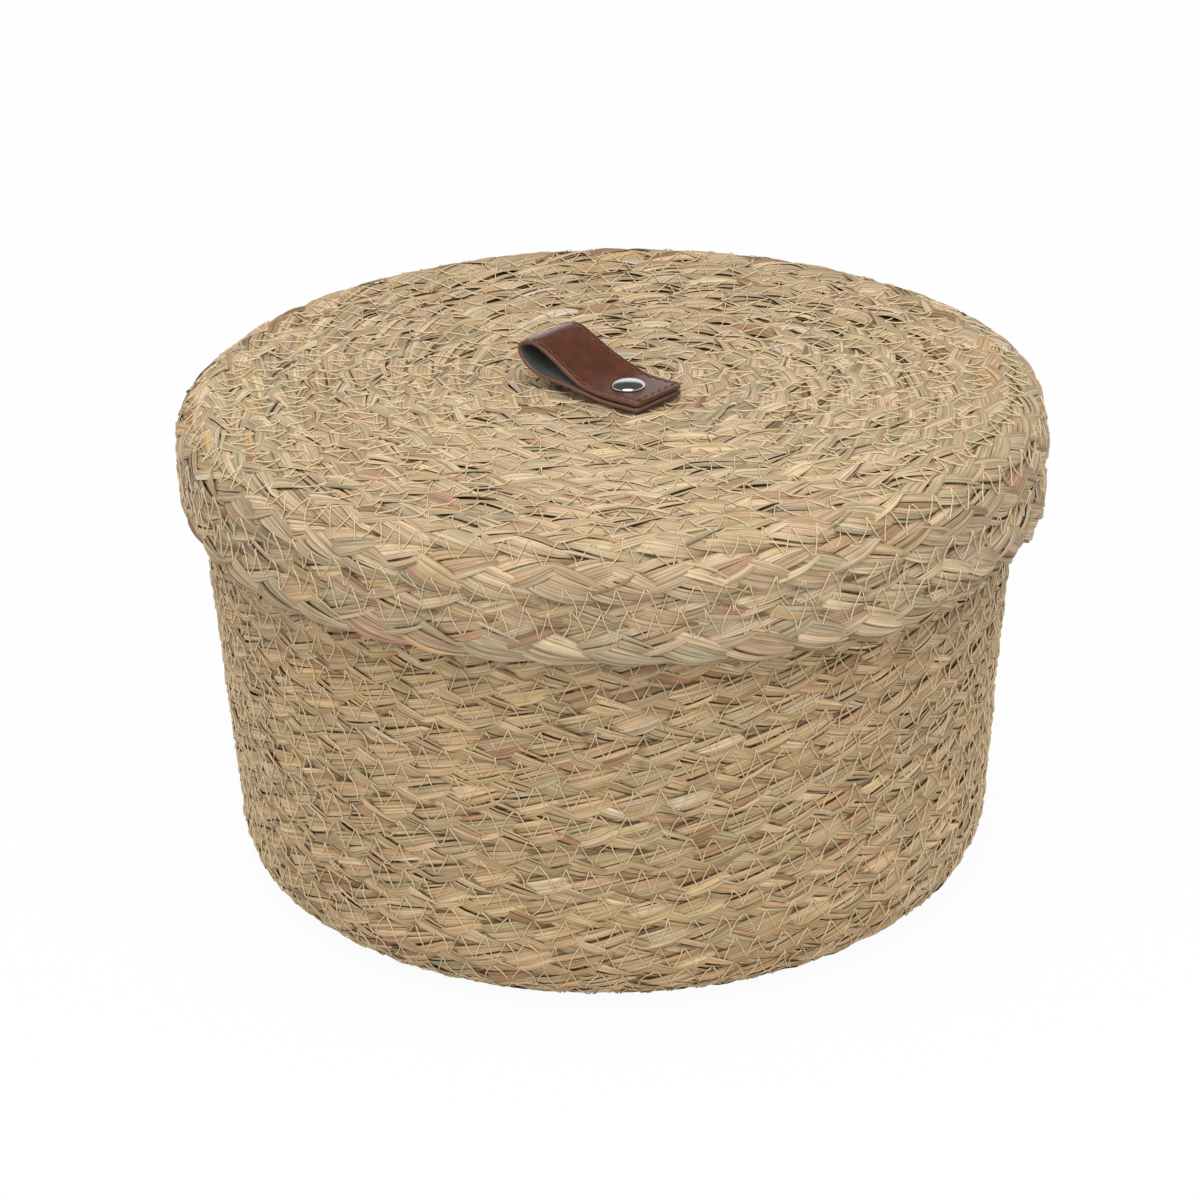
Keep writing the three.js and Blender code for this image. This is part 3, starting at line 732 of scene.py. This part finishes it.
# Grain of smooth leather: pores under a millimetre across, soft creases and cloudy patches of colour. The
# cut edges are paler, and the face has a satin polish.
leather_grain = noise_group(
    "leather_grain",
    (("Pores", (21, 2.0, 2.0), 3), ("Creases", (4.5, 1.1, 0.5), 2), ("Clouds", (2.2, 0.16, 0.3), 3)),
)

leather, tree, shader = new_material("brown_leather")
lie = read_attribute(tree, "lie", "Vector")
grain = use_group(tree, leather_grain, lie)
patches = colour_ramp(tree, grain["Clouds"], (0.32, srgb(76, 37, 20)), (0.68, srgb(97, 51, 28)))
cut = map_range(tree, calculate(tree, "ABSOLUTE", split(tree, lie)["X"]), 0.972, 0.997)
edged = mix_colours(tree, "MIX", patches, (*srgb(110, 70, 56), 1), cut)
pitted = map_range(tree, grain["Pores"], 0.3, 0.6, 0.8, 1.04)
feed(tree, shader.inputs["Base Color"], mix_colours(tree, "MULTIPLY", edged, pitted))
feed(tree, shader.inputs["Roughness"], map_range(tree, grain["Creases"], 0, 1, 0.24, 0.4))
feed(tree, shader.inputs["Specular IOR Level"], 0.8)
feed(tree, shader.inputs["Sheen Weight"], 0.6)
feed(tree, shader.inputs["Sheen Roughness"], 0.22)
feed(tree, shader.inputs["Sheen Tint"], (1, 0.85, 0.78, 1))
emboss(tree, shader, calculate(tree, "ADD", grain["Pores"], grain["Creases"]), 0.45, 0.12 * MM)
strap.data.materials.append(leather)

# Strap lining: dark grey felt, sewn to the back of the leather along its whole length, so that felt lies on
# felt between the strap's ends and shows inside the loop.
FELT_THICK = 0.26
FELT_INSET = 0.3
rings, half = strap_rings(FELT_INSET)
columns = np.linspace(-1, 1, 15)
felt_across = np.concatenate([columns, columns[::-1]])
felt_depth = SKIN_THICK + FELT_THICK * np.concatenate([0 * columns, 1 - 0.5 * columns**14])
points = on_strap(rings[:, None], felt_depth, felt_across * half[:, None])[None]
lies = np.stack([*np.broadcast_arrays(felt_across, rings[:, None], felt_depth)], -1)[None]
lining = strip_mesh("strap_felt", points, lies, np.ones(points.shape), (), len(rings) - 1)
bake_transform(lining)
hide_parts("tab_bottom_lining", "tab_top_lining", "tab_loop_lining")
felt, tree, shader = new_material("grey_felt")
fluff = stretched_noise(tree, read_attribute(tree, "lie", "Vector"), (18, 1.8, 3), 5)
fluff.inputs["Distortion"].default_value = 1.2
mottle = colour_ramp(tree, fluff.outputs["Fac"], (0.3, srgb(43, 43, 42)), (0.72, srgb(80, 81, 80)))
feed(tree, shader.inputs["Base Color"], mottle)
feed(tree, shader.inputs["Roughness"], map_range(tree, fluff.outputs["Fac"], 0, 1, 0.85, 1.0))
feed(tree, shader.inputs["Sheen Weight"], 0.25)
emboss(tree, shader, fluff.outputs["Fac"], 0.6, 0.2 * MM)
lining.data.materials.append(felt)

# Strap stitching: waxed thread of the leather's colour, a row near each long edge and one across each end. A
# stitch lies in the crease that the sewing pulls into the leather and dives into a needle hole at both ends.
STITCH_STEP = 3.0
STITCH_HALF = 1.12
STITCH_R = 0.22
STITCH_SIDES = 6
STITCH_RISE = 0.14  # a stitch's middle line above the leather, at half its length
STITCH_DIVE = 0.38  # and how far it drops from there to its ends
STITCH_START = 3.2  # from the strap's end to the first stitch of a long row
STITCH_COLOUR = srgb(112, 70, 55)
CREASE_DEPTH = 0.12
end = strap_line[0][-1]
steps = np.arange(STITCH_START, end - STITCH_START, STITCH_STEP)
beside = np.arange(-2.5, 3) * STITCH_STEP
first_row, last_row = np.full(len(beside), STITCH_INSET), np.full(len(beside), end - STITCH_INSET)
middles = np.concatenate([steps, steps, first_row, last_row])[:, None, None]
edge = np.full(len(steps), STRAP_HALF - STITCH_INSET)
offsets = np.concatenate([edge, -edge, beside, beside])[:, None, None]
turned = np.concatenate([np.zeros(2 * len(steps)), np.ones(2 * len(beside))])[:, None, None]
place = np.array([-1, -0.7, 0, 0.7, 1])[:, None]
around_share = np.arange(STITCH_SIDES) / STITCH_SIDES
around = 2 * np.pi * np.arange(STITCH_SIDES) / STITCH_SIDES
slim = STITCH_R * (1 - 0.3 * place**2)
ahead, aside = place * STITCH_HALF + 0 * around, slim * np.cos(around)
height = STITCH_RISE - STITCH_DIVE * place**4 + slim * np.sin(around)
along = middles + ahead * (1 - turned) + aside * turned
across = offsets + aside * (1 - turned) - ahead * turned
points = on_strap(along, -height + 0 * along + CREASE_DEPTH * (1 - turned), across)
lies = np.stack([*np.broadcast_arrays(around_share, ahead, middles)], -1)
shades = np.broadcast_to(STITCH_COLOUR, points.shape)
stitches = strip_mesh("strap_stitching", points, lies, shades, ())
stitches.data.materials.append(cotton)
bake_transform(stitches)

# Rivet cap: a pressed and plated steel cap with a domed face and a rolled rim, on the post that goes through
# the strap and the lid.
TURNED_STEPS = 72
CAP_OUTLINE = (
    (0, 5.36), (0.9, 5.34), (1.8, 5.28), (2.7, 5.15), (3.45, 4.98), (4.05, 4.78), (4.45, 4.56), (4.7, 4.36),
    (4.84, 4.24), (4.95, 4.08), (4.98, 3.88), (4.9, 3.68), (4.7, 3.56), (4.1, 3.54), (1.75, 3.54), (1.7, 3.4),
    (1.7, -5.2), (0, -5.2),
)


def turn_piece(name, outline, place):
    """A piece turned about an upright axis: the outline (radius, height), from the axis at the top to the
    axis at the bottom, in even steps round; the axis points are single vertices."""
    outline = np.array(outline, float)
    angle = 2 * np.pi * np.arange(TURNED_STEPS) / TURNED_STEPS
    r, z = outline[1:-1, 0][:, None], outline[1:-1, 1][:, None] + 0 * angle
    body = np.stack([r * np.cos(angle), r * np.sin(angle), z], -1).reshape(-1, 3)
    poles = [(0, 0, outline[0, 1]), (0, 0, outline[-1, 1])]
    number = np.arange(len(body)).reshape(-1, TURNED_STEPS)
    ahead = np.roll(number, -1, 1)
    walls = np.stack([number[:-1], number[1:], ahead[1:], ahead[:-1]], -1).reshape(-1, 4)
    top, low = np.full(TURNED_STEPS, len(body)), np.full(TURNED_STEPS, len(body) + 1)
    crown, foot = np.stack([top, number[0], ahead[0]], -1), np.stack([low, ahead[-1], number[-1]], -1)
    corners = (np.concatenate([body, poles]) + place) * MM
    mesh = bpy.data.meshes.new(name)
    mesh.from_pydata(corners.tolist(), [], walls.tolist() + crown.tolist() + foot.tolist())
    mesh.polygons.foreach_set("use_smooth", np.ones(len(mesh.polygons), bool))
    piece = bpy.data.objects.new(name, mesh)
    bpy.context.scene.collection.objects.link(piece)
    return piece


plating, tree, shader = new_material("bright_plating")
spot = tree.nodes.new("ShaderNodeTexCoord")
scuff = tree.nodes.new("ShaderNodeTexNoise")
for socket, given in (("Vector", spot.outputs["Object"]), ("Scale", 900), ("Detail", 4)):
    feed(tree, scuff.inputs[socket], given)
metal = colour_ramp(tree, scuff.outputs["Fac"], (0, (0.66, 0.65, 0.64)), (1, (0.8, 0.8, 0.8)))
feed(tree, shader.inputs["Base Color"], metal)
feed(tree, shader.inputs["Roughness"], map_range(tree, scuff.outputs["Fac"], 0.4, 0.75, 0.1, 0.24))
feed(tree, shader.inputs["Metallic"], 1)

cap = turn_piece("rivet_domed_cap", CAP_OUTLINE, STRAP_PLACE)
cap.data.materials.append(plating)
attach(cap, "lid")
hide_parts("rivet_cap")

# Rivet back: a plated steel disc under the lid, whose stem grips the cap's post from below. Its face is
# pressed in a shallow ring and its edge is rounded.
BACK_OUTLINE = (
    (0, -2.2), (1.0, -2.2), (1.08, -2.4), (1.1, -5.45), (1.3, -5.6), (4.1, -5.6), (4.35, -5.66), (4.5, -5.85),
    (4.48, -6.15), (4.3, -6.38), (3.6, -6.55), (2.6, -6.6), (2.2, -6.5), (1.8, -6.28), (1.2, -6.2), (0, -6.2),
)
back = turn_piece("rivet_back_disc", BACK_OUTLINE, STRAP_PLACE)
back.data.materials.append(plating)
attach(back, "lid")
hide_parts("rivet_back")

# Studio: a pale floor that keeps the box's shadow, an even white surround and one large soft lamp high on
# the camera's side. The camera stands a metre away and looks down at the box.
FLOOR_HALF = 4.0
FLOOR_WHITE = 0.95  # how far the floor is plain white to the eye; the rest of it takes the shadow
CAMERA_AWAY = 1.0108
CAMERA_HEIGHT = 0.5162
CAMERA_AZIMUTH = math.radians(40)
CAMERA_DOWN = 0.409  # radians by which it looks down
CAMERA_ROLL = math.radians(-1.1)
FRAME_WIDTH = 1200  # of the picture, in pixels
FOCAL_LENGTH = 3745.2  # in pixels
FRAME_SHIFT = -10.5  # in pixels

floor_mesh = bpy.data.meshes.new("floor")
corners = [(x * FLOOR_HALF, y * FLOOR_HALF, 0) for x, y in ((-1, -1), (1, -1), (1, 1), (-1, 1))]
floor_mesh.from_pydata(corners, [], [(0, 1, 2, 3)])
floor = bpy.data.objects.new("floor", floor_mesh)
bpy.context.scene.collection.objects.link(floor)
paper, tree, shader = new_material("white_paper")
feed(tree, shader.inputs["Base Color"], (0.85, 0.85, 0.85, 1))
feed(tree, shader.inputs["Roughness"], 0.9)
white = tree.nodes.new("ShaderNodeEmission")
rays = tree.nodes.new("ShaderNodeLightPath").outputs
seen = calculate(tree, "MAXIMUM", rays["Is Camera Ray"], rays["Is Glossy Ray"])
seen = calculate(tree, "MAXIMUM", seen, rays["Is Transmission Ray"])
mixed = tree.nodes.new("ShaderNodeMixShader")
feed(tree, mixed.inputs["Fac"], calculate(tree, "MULTIPLY", seen, FLOOR_WHITE))
feed(tree, mixed.inputs[1], shader.outputs["BSDF"])
feed(tree, mixed.inputs[2], white.outputs["Emission"])
feed(tree, tree.nodes["Material Output"].inputs["Surface"], mixed.outputs["Shader"])
floor.data.materials.append(paper)

# To the eye the surround is white. Polished faces reflect white walls, with a dim ceiling over them.
world = bpy.data.worlds.new("surround")
bpy.context.scene.world = world
world.use_nodes = True
tree = world.node_tree
spot = tree.nodes.new("ShaderNodeTexCoord")
height = split(tree, spot.outputs["Generated"])["Z"]
room = colour_ramp(tree, height, (0.36, (1, 1, 1)), (0.48, (0.09, 0.09, 0.09)))
rays = tree.nodes.new("ShaderNodeLightPath").outputs
even = mix_colours(tree, "MIX", (0.7, 0.7, 0.7, 1), room, rays["Is Glossy Ray"])
seen = calculate(tree, "MAXIMUM", rays["Is Camera Ray"], rays["Is Transmission Ray"])
backdrop = mix_colours(tree, "MIX", even, (1, 1, 1, 1), seen)
feed(tree, tree.nodes["Background"].inputs["Color"], backdrop)

lamp_data = bpy.data.lights.new("softbox", "AREA")
lamp_data.shape = "SQUARE"
lamp_data.size = 0.9
lamp_data.energy = 11
lamp = bpy.data.objects.new("softbox", lamp_data)
bpy.context.scene.collection.objects.link(lamp)
lamp.location = (0.35, -0.44, 1.17)
lamp.rotation_euler = (math.radians(28), 0, math.radians(38))

camera_data = bpy.data.cameras.new("camera")
camera = bpy.data.objects.new("camera", camera_data)
bpy.context.scene.collection.objects.link(camera)
bpy.context.scene.camera = camera
east, south = CAMERA_AWAY * math.sin(CAMERA_AZIMUTH), CAMERA_AWAY * math.cos(CAMERA_AZIMUTH)
camera.matrix_world = (
    Matrix.Translation((east, -south, CAMERA_HEIGHT))
    @ Matrix.Rotation(CAMERA_AZIMUTH, 4, "Z")
    @ Matrix.Rotation(math.pi / 2 - CAMERA_DOWN, 4, "X")
    @ Matrix.Rotation(CAMERA_ROLL, 4, "Z")
)
camera_data.lens = camera_data.sensor_width * FOCAL_LENGTH / FRAME_WIDTH
camera_data.shift_x = FRAME_SHIFT / FRAME_WIDTH
bpy.context.scene.view_settings.view_transform = "Standard"
